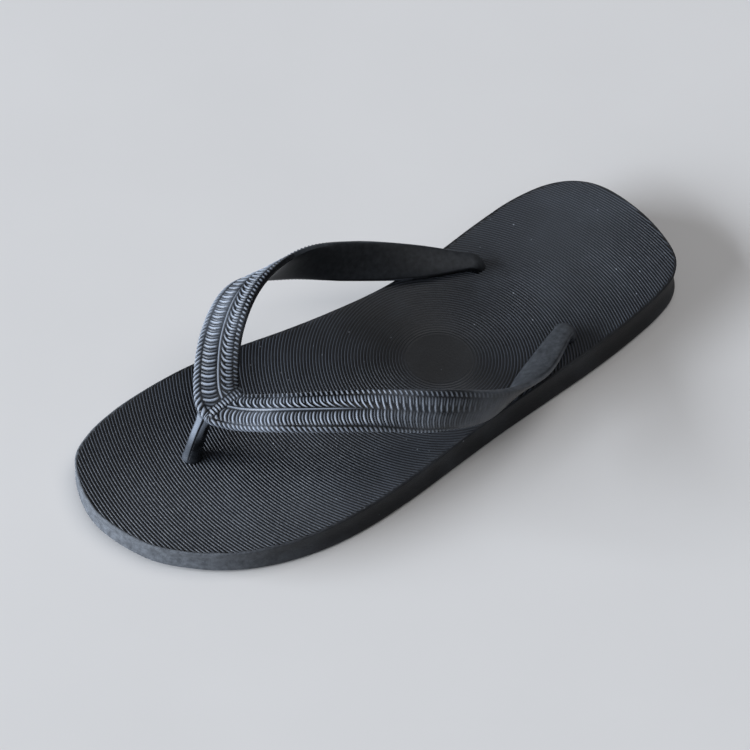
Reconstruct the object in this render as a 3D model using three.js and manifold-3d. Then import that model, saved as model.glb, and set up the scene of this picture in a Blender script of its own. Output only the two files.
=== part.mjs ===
// A flat rubber thong sandal for the left foot. One slab is the sole. One moulded strap has two arms, a toe post
// and three plugs, which sit in holes through the slab and are held by the discs under it.
// Millimetres, +X towards the toe, +Y towards the wearer's left, +Z up, standing on Z = 0.
// In the tables along is measured from the heel end, and side from the long axis, plus towards the left.
import * as THREE from "three";
import { mergeVertices } from "three/addons/utils/BufferGeometryUtils.js";
import Module from "manifold-3d";

// Plan of the footbed: its two ends, and the half breadth on each side of the long axis from heel to toe
const HEEL_END = { along: 0, side: -1 };
const TOE_END = { along: 270, side: 3 };
const OUTLINE = [
  { along: 4, medial: 24.5, lateral: 22.0 },
  { along: 11, medial: 33.6, lateral: 30.2 },
  { along: 22, medial: 38.6, lateral: 35.2 },
  { along: 40, medial: 39.7, lateral: 39.8 },
  { along: 62, medial: 36.6, lateral: 43.8 },
  { along: 88, medial: 31.6, lateral: 47.2 },
  { along: 114, medial: 28.7, lateral: 50.6 },
  { along: 138, medial: 29.4, lateral: 54.4 },
  { along: 160, medial: 31.6, lateral: 58.0 },
  { along: 182, medial: 34.9, lateral: 60.4 },
  { along: 203, medial: 37.0, lateral: 60.2 },
  { along: 222, medial: 36.3, lateral: 56.8 },
  { along: 238, medial: 34.0, lateral: 50.4 },
  { along: 252, medial: 29.4, lateral: 40.4 },
  { along: 262.5, medial: 21.8, lateral: 28.4 },
];
const OUTLINE_POINTS = 120;
const ARC_DIVISIONS = 2400;

// Height of the footbed above the ground, heel to toe
const FOOTBED = [
  { along: 0, top: 14.6 },
  { along: 40, top: 14.4 },
  { along: 80, top: 13.9 },
  { along: 120, top: 13.4 },
  { along: 160, top: 12.7 },
  { along: 190, top: 12.0 },
  { along: 215, top: 11.2 },
  { along: 240, top: 10.6 },
  { along: 270, top: 10.3 },
];

// The underside is flat up to the ball of the foot and lifts a little towards the toe
const SPRING_START = 205;
const TOE_LIFT = 1.8;

// Side wall from the ground up: inset from the plan, and height as a share of the thickness plus a step
const WALL = [
  { inset: 1.5, share: 0, step: 0 },
  { inset: 0.2, share: 0, step: 0.4 },
  { inset: -0.8, share: 0, step: 1.4 },
  { inset: 0.5, share: 0.5, step: 0 },
  { inset: 0, share: 1, step: -1.9 },
  { inset: 0.5, share: 1, step: -0.6 },
  { inset: 1.7, share: 1, step: 0 },
];
// Rings of the flat faces, as shares of the way from the edge to the spine of the sole
const FACE_RINGS = [0.35, 0.75];
const SPINE = { from: 48, to: 218 };

// Front and rear edge of each strap arm from the fork over the toe post to the plug, heights over the footbed
const FORK = { front: [222.6, 6.4, 22.4], rear: [204.5, 3.8, 22.9] };
const LATERAL_ARM = [
  { front: [215.5, 16.5, 23.6], rear: [200.8, 10.0, 26.6] },
  { front: [203.1, 33.7, 30.9], rear: [191.8, 21.5, 32.5] },
  { front: [176.9, 50.5, 29.9], rear: [169.9, 37.4, 35.9] },
  { front: [149.6, 55.7, 17.2], rear: [143.4, 50.5, 31.6] },
  { front: [122.8, 54.6, 6.6], rear: [117.3, 55.9, 20.2] },
  { front: [97.4, 40.6, 4.2], rear: [92.0, 50.8, 9.0] },
  { front: [70.6, 29.0, 3.9], rear: [67.2, 35.6, 3.9] },
];
const MEDIAL_ARM = [
  { front: [219.2, -4.7, 23.1], rear: [201.6, -1.4, 27.2] },
  { front: [202.9, -25.3, 29.4], rear: [192.0, -13.5, 34.0] },
  { front: [179.9, -40.7, 28.0], rear: [173.2, -27.9, 36.8] },
  { front: [153.6, -42.0, 16.4], rear: [147.0, -38.6, 31.6] },
  { front: [127.2, -35.2, 5.6], rear: [121.0, -40.7, 19.9] },
  { front: [101.1, -22.0, 2.9], rear: [95.5, -33.2, 9.8] },
  { front: [77.4, -13.9, 3.7], rear: [74.8, -20.9, 4.3] },
];
const ARM_STEPS = 42;

// Cross-section of an arm: a flattened band, a little crowned on both faces, with rounded edges
const CROWN = 1.7;
const CROWN_FULLNESS = 0.55;
const HOLLOW = 1.9;
const HOLLOW_FULLNESS = 0.6;
const SECTION_POINTS = 18;

// Toe post, necks and plug discs
const POST_DIAMETER = 6.4;
const POST_LINE = [
  { along: 219.0, side: 3.3, up: 22.0 },
  { along: 220.9, side: 2.4, up: 15.0 },
  { along: 223.3, side: 2.0, up: 6.5 },
  { along: 225, side: 2.2, up: 0 },
  { along: 225, side: 2.2, up: -4.0 },
];
const POST_STEPS = 16;
const ARM_PLUGS = [
  { along: 68.9, side: 32.3 },
  { along: 76.1, side: -17.4 },
];
const TOE_PLUG = { along: 225, side: 2.2 };
const NECK_DIAMETER = 7.0;
const KNUCKLE = { length: 3.8, height: 2.6 };
const DISC_DIAMETER = 15;
const DISC_THICKNESS = 2.8;
const DISC_RECESS = 0.7;
const NECK_SINK = 1;
const CLEARANCE = 0.3;
const OVERCUT = 1;
const ROUND = 24;
const MERGE_DISTANCE = 1e-4;

const SOLE_RUBBER = new THREE.MeshStandardMaterial({ color: "#2c2e33", roughness: 0.75, metalness: 0 });
const STRAP_RUBBER = new THREE.MeshStandardMaterial({ color: "#2a2c30", roughness: 0.55, metalness: 0 });

const wasm = await Module();
wasm.setup();

// Value of a table's column at a station: a smooth cubic through the rows
function readTable(rows, column, along) {
  const last = rows.length - 1;
  const x = THREE.MathUtils.clamp(along, rows[0].along, rows[last].along);
  let i = 0;
  while (i < last - 1 && x > rows[i + 1].along) i += 1;
  const slope = (k) => {
    const a = rows[Math.max(k - 1, 0)];
    const b = rows[Math.min(k + 1, last)];
    return (b[column] - a[column]) / (b.along - a.along);
  };
  const span = rows[i + 1].along - rows[i].along;
  const t = (x - rows[i].along) / span;
  const rise = rows[i + 1][column] - rows[i][column];
  const start = slope(i) * span;
  const end = slope(i + 1) * span;
  const square = 3 * rise - 2 * start - end;
  const cube = start + end - 2 * rise;
  return rows[i][column] + t * (start + t * (square + t * cube));
}

const footbedHeight = (along) => readTable(FOOTBED, "top", along);

function undersideHeight(along) {
  const share = Math.max(0, along - SPRING_START) / (TOE_END.along - SPRING_START);
  return TOE_LIFT * share ** 2;
}

// Skin over a row of rings, closed at both ends by the faces of the cap
function loft(rings, capFaces) {
  const count = rings[0].length;
  const positions = rings.flat().flatMap((p) => [p.x, p.y, p.z]);
  const index = [];
  for (let r = 0; r + 1 < rings.length; r += 1) {
    for (let j = 0; j < count; j += 1) {
      const a = r * count + j;
      const b = r * count + ((j + 1) % count);
      index.push(a, b, b + count, a, b + count, a + count);
    }
  }
  const top = (rings.length - 1) * count;
  for (const [a, b, c] of capFaces) {
    index.push(c, b, a);
    index.push(top + a, top + b, top + c);
  }
  const geometry = new THREE.BufferGeometry();
  geometry.setAttribute("position", new THREE.Float32BufferAttribute(positions, 3));
  geometry.setIndex(index);
  return geometry;
}

// Faces across a ring that runs up one side of the sole and down the other, like the rungs of a ladder
function ladderFaces(ring) {
  let up = 1;
  let down = ring.length - 1;
  const faces = [[0, up, down]];
  while (down - up > 1) {
    if (ring[up + 1].x < ring[down - 1].x) {
      faces.push([up, up + 1, down]);
      up += 1;
    } else {
      faces.push([up, down - 1, down]);
      down -= 1;
    }
  }
  return faces;
}

function solid(geometry) {
  const bare = geometry.clone();
  bare.deleteAttribute("normal");
  bare.deleteAttribute("uv");
  const merged = mergeVertices(bare, MERGE_DISTANCE);
  return new wasm.Manifold(
    new wasm.Mesh({
      numProp: 3,
      vertProperties: merged.attributes.position.array,
      triVerts: new Uint32Array(merged.index.array),
    }),
  );
}

function meshOf(name, manifold, material) {
  const { vertProperties, triVerts } = manifold.getMesh();
  const geometry = new THREE.BufferGeometry();
  geometry.setAttribute("position", new THREE.BufferAttribute(vertProperties, 3));
  geometry.setIndex(new THREE.BufferAttribute(triVerts, 1));
  geometry.computeVertexNormals();
  const mesh = new THREE.Mesh(geometry, material);
  mesh.name = name;
  return mesh;
}

// Upright round bar between two heights
function bar(place, diameter, low, high) {
  const geometry = new THREE.CylinderGeometry(diameter / 2, diameter / 2, high - low, ROUND);
  geometry.rotateX(Math.PI / 2);
  geometry.translate(place.along, place.side, (low + high) / 2);
  return solid(geometry);
}

// Footbed edge in plan, anticlockwise from above
function outlinePoints() {
  const medial = OUTLINE.map((row) => new THREE.Vector3(row.along, -row.medial, 0));
  const lateral = OUTLINE.map((row) => new THREE.Vector3(row.along, row.lateral, 0)).reverse();
  const heel = new THREE.Vector3(HEEL_END.along, HEEL_END.side, 0);
  const toe = new THREE.Vector3(TOE_END.along, TOE_END.side, 0);
  const curve = new THREE.CatmullRomCurve3([heel, ...medial, toe, ...lateral], true);
  curve.arcLengthDivisions = ARC_DIVISIONS;
  return curve.getSpacedPoints(OUTLINE_POINTS).slice(0, OUTLINE_POINTS);
}

// Point on the middle line of the sole that belongs to a point of the edge
function spinePoint(point) {
  const along = THREE.MathUtils.clamp(point.x, SPINE.from, SPINE.to);
  const medial = readTable(OUTLINE, "medial", along);
  const lateral = readTable(OUTLINE, "lateral", along);
  return new THREE.Vector3(along, (lateral - medial) / 2, 0);
}

function soleBody() {
  const edge = outlinePoints();
  const outward = edge.map((_, j) => {
    const before = edge.at(j - 1);
    const after = edge[(j + 1) % edge.length];
    return new THREE.Vector3(after.y - before.y, before.x - after.x, 0).normalize();
  });
  const wallRing = ({ inset, share, step }) =>
    edge.map((p, j) => {
      const q = p.clone().addScaledVector(outward[j], -inset);
      const low = undersideHeight(q.x);
      q.z = low + share * (footbedHeight(q.x) - low) + step;
      return q;
    });
  const faceRing = (share, height) =>
    edge.map((p) => {
      const q = p.clone().lerp(spinePoint(p), share);
      q.z = height(q.x);
      return q;
    });
  const under = FACE_RINGS.map((share) => faceRing(share, undersideHeight)).reverse();
  const over = FACE_RINGS.map((share) => faceRing(share, footbedHeight));
  const rings = [...under, ...WALL.map(wallRing), ...over];
  return solid(loft(rings, ladderFaces(over.at(-1))));
}

// Hole for a neck, with the wider seat for its disc
function plugHole(place) {
  const above = footbedHeight(place.along) + OVERCUT;
  const seat = DISC_RECESS + DISC_THICKNESS + CLEARANCE;
  const neck = bar(place, NECK_DIAMETER + 2 * CLEARANCE, -OVERCUT, above);
  return neck.add(bar(place, DISC_DIAMETER + 2 * CLEARANCE, -OVERCUT, seat));
}

// Neck and disc of the strap inside the sole
function plug(place, neckTop) {
  const disc = bar(place, DISC_DIAMETER, DISC_RECESS, DISC_RECESS + DISC_THICKNESS);
  return disc.add(bar(place, NECK_DIAMETER, DISC_RECESS + NECK_SINK, neckTop));
}

// Edge of an arm as a smooth line through the rows of its table
function armEdge(rows, edge) {
  const points = [FORK, ...rows].map((row) => {
    const [along, side, up] = row[edge];
    return new THREE.Vector3(along, side, footbedHeight(along) + up);
  });
  return new THREE.CatmullRomCurve3(points);
}

function armSections(rows) {
  const front = armEdge(rows, "front");
  const rear = armEdge(rows, "rear");
  return Array.from({ length: ARM_STEPS + 1 }, (_, i) => {
    const t = i / ARM_STEPS;
    return { front: front.getPoint(t), rear: rear.getPoint(t) };
  });
}

// Rounded section as shares of the half breadth and as heights off the middle plane
function sectionProfile() {
  return Array.from({ length: SECTION_POINTS }, (_, k) => {
    const angle = (-2 * Math.PI * k) / SECTION_POINTS;
    const lift = Math.sin(angle);
    const crown = CROWN * Math.max(lift, 0) ** CROWN_FULLNESS;
    const hollow = HOLLOW * Math.max(-lift, 0) ** HOLLOW_FULLNESS;
    return new THREE.Vector2(Math.cos(angle), crown - hollow);
  });
}

// Both arms as one band from the lateral plug over the fork to the medial plug
function bandBody() {
  const sections = [...armSections(LATERAL_ARM).reverse(), ...armSections(MEDIAL_ARM).slice(1)];
  const middle = sections.map((s) => s.front.clone().add(s.rear).multiplyScalar(0.5));
  const profile = sectionProfile();
  const rings = sections.map((s, i) => {
    const before = middle[Math.max(i - 1, 0)];
    const after = middle[Math.min(i + 1, middle.length - 1)];
    const run = after.clone().sub(before).normalize();
    const half = s.rear.clone().sub(s.front).multiplyScalar(0.5);
    const out = half.clone().cross(run).normalize();
    return profile.map(({ x, y }) => middle[i].clone().addScaledVector(half, x).addScaledVector(out, y));
  });
  const outline = profile.map(({ x, y }) => new THREE.Vector2(-x, y));
  return solid(loft(rings, THREE.ShapeUtils.triangulateShape(outline, [])));
}

// Rounded end of an arm where it turns down into its hole
function knuckle(place) {
  const geometry = new THREE.SphereGeometry(1, ROUND, ROUND / 2);
  geometry.scale(KNUCKLE.length, KNUCKLE.length, KNUCKLE.height);
  geometry.translate(place.along, place.side, footbedHeight(place.along) + CLEARANCE + KNUCKLE.height);
  return solid(geometry);
}

function toePost() {
  const points = POST_LINE.map(
    ({ along, side, up }) => new THREE.Vector3(along, side, footbedHeight(along) + up),
  );
  const circle = new THREE.Shape().absarc(0, 0, POST_DIAMETER / 2, 0, 2 * Math.PI);
  const extrudePath = new THREE.CatmullRomCurve3(points);
  return solid(
    new THREE.ExtrudeGeometry(circle, { extrudePath, steps: POST_STEPS, curveSegments: ROUND / 2 }),
  );
}

function buildSole() {
  return [...ARM_PLUGS, TOE_PLUG].reduce((body, place) => body.subtract(plugHole(place)), soleBody());
}

function buildStrap() {
  const arms = ARM_PLUGS.reduce((body, place) => {
    const neckTop = footbedHeight(place.along) + CLEARANCE + KNUCKLE.height;
    return body.add(knuckle(place)).add(plug(place, neckTop));
  }, bandBody());
  return arms.add(toePost()).add(plug(TOE_PLUG, footbedHeight(TOE_PLUG.along) - CLEARANCE));
}

const sandal = new THREE.Group();
sandal.add(meshOf("sole", buildSole(), SOLE_RUBBER));
sandal.add(meshOf("strap", buildStrap(), STRAP_RUBBER));

// The middle of the sandal's box stands over the origin
const centre = new THREE.Box3().setFromObject(sandal).getCenter(new THREE.Vector3());
sandal.position.set(-centre.x, -centre.y, 0);

export default sandal;
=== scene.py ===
"""Looks of a flat rubber thong sandal for the left foot: ribbed sole, braided strap, floor, light and camera.

Shapes are worked out in millimetres in the maker's frame: along from the heel end, side to the wearer's left,
up from the ground. They go into the meshes in metres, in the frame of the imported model.
"""

import logging
from dataclasses import dataclass
from enum import Enum
from typing import Any, NamedTuple

import bpy
import numpy as np
from mathutils import Matrix, Vector


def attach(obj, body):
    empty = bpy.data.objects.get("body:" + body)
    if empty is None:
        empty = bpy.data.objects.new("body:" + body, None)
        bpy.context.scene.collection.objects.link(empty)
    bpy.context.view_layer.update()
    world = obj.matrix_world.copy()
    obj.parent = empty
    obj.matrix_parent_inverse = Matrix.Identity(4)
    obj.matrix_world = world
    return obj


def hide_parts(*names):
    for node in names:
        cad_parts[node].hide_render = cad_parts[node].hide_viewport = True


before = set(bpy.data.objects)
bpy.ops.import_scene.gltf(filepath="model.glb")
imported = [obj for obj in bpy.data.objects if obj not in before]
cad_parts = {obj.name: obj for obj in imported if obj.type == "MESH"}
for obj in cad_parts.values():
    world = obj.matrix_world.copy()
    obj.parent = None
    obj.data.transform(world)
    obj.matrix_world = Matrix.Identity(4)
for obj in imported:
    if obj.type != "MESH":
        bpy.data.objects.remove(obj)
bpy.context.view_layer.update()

Array = np.ndarray
Span = tuple[float, float]
Place = tuple[float, float, float]
Piece = bpy.types.Object
Material = bpy.types.Material
Tree = bpy.types.NodeTree
Socket = bpy.types.NodeSocket
MM = 0.001
BODY = "root"
# Numbers that each vertex carries: how far it is rubbed, and how much dust lies on it; both also carry pale
# paint for painted highlights. Wear above 0 pales the rubber, partly as rubbing and partly as a painted
# highlight, and changes its gloss. Below 0 the rubber keeps its ground colour, and only the gloss changes.
WEAR_AND_HIGHLIGHT = "wear_and_highlight"
DUST_AND_LIGHT = "dust"
CLEAN = np.zeros(0)
UP = np.array([0.0, 0.0, 1.0])
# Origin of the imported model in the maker's frame, in millimetres.
ORIGIN = np.array([134.964, 9.063, 0.0])
log = logging.getLogger("sandal")


class Side(Enum):
    """The two arms of the strap, with the sign that turns their outer face outwards."""

    LATERAL = -1
    MEDIAL = 1


class Edge(Enum):
    """The two long edges of an arm, as columns of its table."""

    FRONT = 0
    REAR = 1


class PlanRow(NamedTuple):
    """Half breadths of the footbed at a station."""

    along: float
    medial: float
    lateral: float


class HeightRow(NamedTuple):
    """Height of the footbed at a station."""

    along: float
    top: float


class WallRow(NamedTuple):
    """Point of the side wall: inset from the plan, and height as a share of the thickness plus a step."""

    inset: float
    share: float
    step: float


class ArmRow(NamedTuple):
    """Front and rear edge of an arm at a section: along, side and height over the footbed."""

    front: Place
    rear: Place


class ArmLine(NamedTuple):
    """Course of an arm: way from the fork, front edge, middle, half breadth, direction on, direction out."""

    axial: Array
    front: Array
    middle: Array
    half: Array
    run: Array
    out: Array


class Spot(NamedTuple):
    """Place on the footbed."""

    along: float
    side: float


class Patch(NamedTuple):
    """Soft round patch on the footbed: its middle, its radius and its strength there."""

    along: float
    side: float
    radius: float
    strength: float

    def bell(self, places: Array) -> Array:
        """Strength at places on the footbed: a bell of the distance from the middle over the radius."""
        away = np.linalg.norm(places - np.array([self.along, self.side]), axis=1)
        return self.strength * np.exp(-((away / self.radius) ** 2))


def linear(hex_colour: str) -> tuple[float, float, float, float]:
    """Turn an sRGB hex colour into linear light.

    Args:
        hex_colour: colour such as "#2a2c30".

    Returns:
        Red, green, blue and an alpha of one.
    """
    code = np.array([int(hex_colour[i : i + 2], 16) / 255 for i in (1, 3, 5)])
    light = np.where(code <= 0.04045, code / 12.92, ((code + 0.055) / 1.055) ** 2.4)
    return (*light.tolist(), 1.0)


def rise(span: Span, value: Array) -> Array:
    """Ease from 0 at the start of a span to 1 at its end.

    Args:
        span: values where the step starts and where it is complete.
        value: numbers to ease.

    Returns:
        3 t^2 - 2 t^3 of the clamped share t of the span.
    """
    share = np.clip((value - span[0]) / (span[1] - span[0]), 0.0, 1.0)
    return share * share * (3.0 - 2.0 * share)


def fall(span: Span, value: Array) -> Array:
    """Ease from 1 at the start of a span to 0 at its end."""
    return 1.0 - rise(span, value)


def read_table(stations: Array, values: Array, along: Array) -> Array:
    """Read a table as a smooth cubic through its rows.

    Each row's slope is that of the line between its neighbours, and a cubic joins row to row.

    Args:
        stations: rising places of the rows.
        values: values of the rows.
        along: places to read at, held inside the table.

    Returns:
        Value at each place.
    """
    place = np.clip(along, stations[0], stations[-1])
    slopes = np.empty_like(values)
    slopes[1:-1] = (values[2:] - values[:-2]) / (stations[2:] - stations[:-2])
    slopes[0] = (values[1] - values[0]) / (stations[1] - stations[0])
    slopes[-1] = (values[-1] - values[-2]) / (stations[-1] - stations[-2])
    row = np.clip(np.searchsorted(stations, place) - 1, 0, len(stations) - 2)
    span = stations[row + 1] - stations[row]
    t = (place - stations[row]) / span
    climb = values[row + 1] - values[row]
    start = slopes[row] * span
    end = slopes[row + 1] * span
    return values[row] + t * (start + t * ((3 * climb - 2 * start - end) + t * (start + end - 2 * climb)))


def curve_through(points: Array, share: Array, closed: bool = False) -> Array:
    """Follow a centripetal Catmull-Rom curve through a row of points.

    Between two points the curve is the cubic whose end tangents come from the neighbours, with knots spaced
    by the square root of the chord. Beyond the ends of an open row the last chord is carried on.

    Args:
        points: rows of coordinates.
        share: places on the curve, from 0 at the first point to 1 at the last, each span counting alike.
        closed: whether the last point joins the first.

    Returns:
        A point for each place.
    """
    count = len(points)
    spans = count if closed else count - 1
    place = np.clip(share, 0.0, 1.0) * spans
    first = np.minimum(place.astype(int), spans - 1)
    t = (place - first)[:, None]
    if closed:
        p0, p1, p2, p3 = (points[(first + k) % count] for k in (-1, 0, 1, 2))
    else:
        row = np.vstack([2 * points[0] - points[1], points, 2 * points[-1] - points[-2]])
        p0, p1, p2, p3 = (row[first + k] for k in (0, 1, 2, 3))
    chords = ((p0, p1), (p1, p2), (p2, p3))
    d0, d1, d2 = (np.sqrt(np.linalg.norm(b - a, axis=1))[:, None] for a, b in chords)
    leave = ((p1 - p0) / d0 - (p2 - p0) / (d0 + d1) + (p2 - p1) / d1) * d1
    arrive = ((p2 - p1) / d1 - (p3 - p1) / (d1 + d2) + (p3 - p2) / d2) * d1
    square = -3 * p1 + 3 * p2 - 2 * leave - arrive
    cube = 2 * p1 - 2 * p2 + leave + arrive
    return p1 + leave * t + square * t**2 + cube * t**3


def run_length(points: Array) -> Array:
    """Measure the length of a line of points from its start up to each of them."""
    return np.concatenate([[0.0], np.cumsum(np.linalg.norm(np.diff(points, axis=0), axis=1))])


def unit(vectors: Array) -> Array:
    """Scale vectors to a length of one."""
    return vectors / np.linalg.norm(vectors, axis=-1, keepdims=True)


def grid_faces(ids: Array) -> Array:
    """Make triangles over rings of vertex numbers, the last column joined to the first.

    Each cell gives two triangles, and those that a doubled vertex has closed up are dropped.

    Args:
        ids: vertex numbers, a row for each ring.

    Returns:
        Triangles as rows of three vertex numbers.
    """
    across = np.roll(ids, -1, axis=1)
    a, b, c, d = ids[:-1], ids[1:], across[1:], across[:-1]
    faces = np.concatenate([np.stack([a, b, c], -1).reshape(-1, 3), np.stack([a, c, d], -1).reshape(-1, 3)])
    whole = (faces[:, 0] != faces[:, 1]) & (faces[:, 1] != faces[:, 2]) & (faces[:, 2] != faces[:, 0])
    return faces[whole]


def closed_rings(rings: Array, ends: Array) -> tuple[Array, Array]:
    """Close a tube of rings with a fan at both ends.

    Args:
        rings: ring points, ring by ring.
        ends: middle points of the first and of the last fan.

    Returns:
        Vertices, the ring points first, and triangles turned so that the signed volume is positive.
    """
    points = np.vstack([rings.reshape(-1, 3), ends])
    ids = np.arange(len(points) - 2).reshape(rings.shape[:2])
    caps = np.full((1, rings.shape[1]), len(points) - 2)
    faces = grid_faces(np.vstack([caps, ids, caps + 1]))
    a, b, c = (points[faces[:, k]] for k in range(3))
    volume = np.einsum("ij,ij->", a, np.cross(b, c))
    return points, faces if volume > 0 else faces[:, ::-1]


def turned_solids(spots: tuple[Spot, ...], radius: Array, heights: Array, sides: int) -> tuple[Array, Array]:
    """Turn a profile about an upright axis at each spot.

    Args:
        spots: places of the axes.
        radius: radius at each step of the profile.
        heights: height at each step, a row for each spot.
        sides: number of sides of the round.

    Returns:
        Vertices and triangles of all the solids.
    """
    turn = np.linspace(0, 2 * np.pi, sides, endpoint=False)
    circle = np.stack([np.cos(turn), np.sin(turn)], -1)[None] * radius[:, None, None]
    points = []
    faces = []
    for spot, height in zip(spots, heights):
        rings = np.dstack([circle + np.array(spot), np.broadcast_to(height[:, None], circle.shape[:2])])
        solid, skin = closed_rings(rings, np.array([[*spot, height[0]], [*spot, height[-1]]]))
        faces.append(skin + sum(map(len, points)))
        points.append(solid)
    return np.vstack(points), np.vstack(faces)


def make_piece(name: str, points: Array, faces: Array) -> Piece:
    """Put a triangle surface into a new object of the scene.

    Args:
        name: plain name of the piece.
        points: vertices in millimetres in the maker's frame.
        faces: triangles with their fronts outwards.

    Returns:
        The object, smooth shaded, at the scene's origin.
    """
    mesh = bpy.data.meshes.new(name)
    mesh.vertices.add(len(points))
    mesh.vertices.foreach_set("co", ((points - ORIGIN) * MM).ravel())
    mesh.loops.add(faces.size)
    mesh.loops.foreach_set("vertex_index", faces.ravel().astype(np.int32))
    mesh.polygons.add(len(faces))
    mesh.polygons.foreach_set("loop_start", np.arange(0, faces.size, 3, dtype=np.int32))
    mesh.update(calc_edges=True)
    mesh.validate()
    mesh.shade_smooth()
    piece = bpy.data.objects.new(name, mesh)
    bpy.context.scene.collection.objects.link(piece)
    return piece


def store_attribute(piece: Piece, name: str, values: Array) -> None:
    """Keep a number for each vertex of a piece.

    Args:
        piece: object whose vertices take the numbers.
        name: name of the attribute.
        values: numbers in the order of the vertices; vertices beyond them get 0.
    """
    whole = np.zeros(len(piece.data.vertices), np.float32)
    whole[: values.size] = values.ravel()
    piece.data.attributes.new(name, "FLOAT", "POINT").data.foreach_set("value", whole)


def add_node(
    tree: Tree, kind: str, links: dict[str | int, Socket] | None = None, take: str | int = 0, **settings: Any
) -> Socket | None:
    """Add a node to a tree with its settings and links.

    Args:
        tree: tree that takes the node.
        kind: Blender's name for the node.
        links: output sockets by the name or number of the input that they feed.
        take: name or number of the output to hand on.
        settings: values by the name of the node's property, or of its input with spaces as underscores.

    Returns:
        The chosen output, or nothing from a node without outputs.
    """
    node = tree.nodes.new(kind)
    for key, value in settings.items():
        if hasattr(node, key):
            setattr(node, key, value)
        else:
            node.inputs[key.replace("_", " ")].default_value = value
    for key, output in (links or {}).items():
        tree.links.new(output, node.inputs[key])
    return node.outputs[take] if node.outputs else None


def empty_material(name: str) -> Material:
    """Start a node material.

    Args:
        name: name of the material.

    Returns:
        The material, with nothing in its tree.
    """
    made = bpy.data.materials.new(name)
    made.use_nodes = True
    made.node_tree.nodes.clear()
    return made


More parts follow.
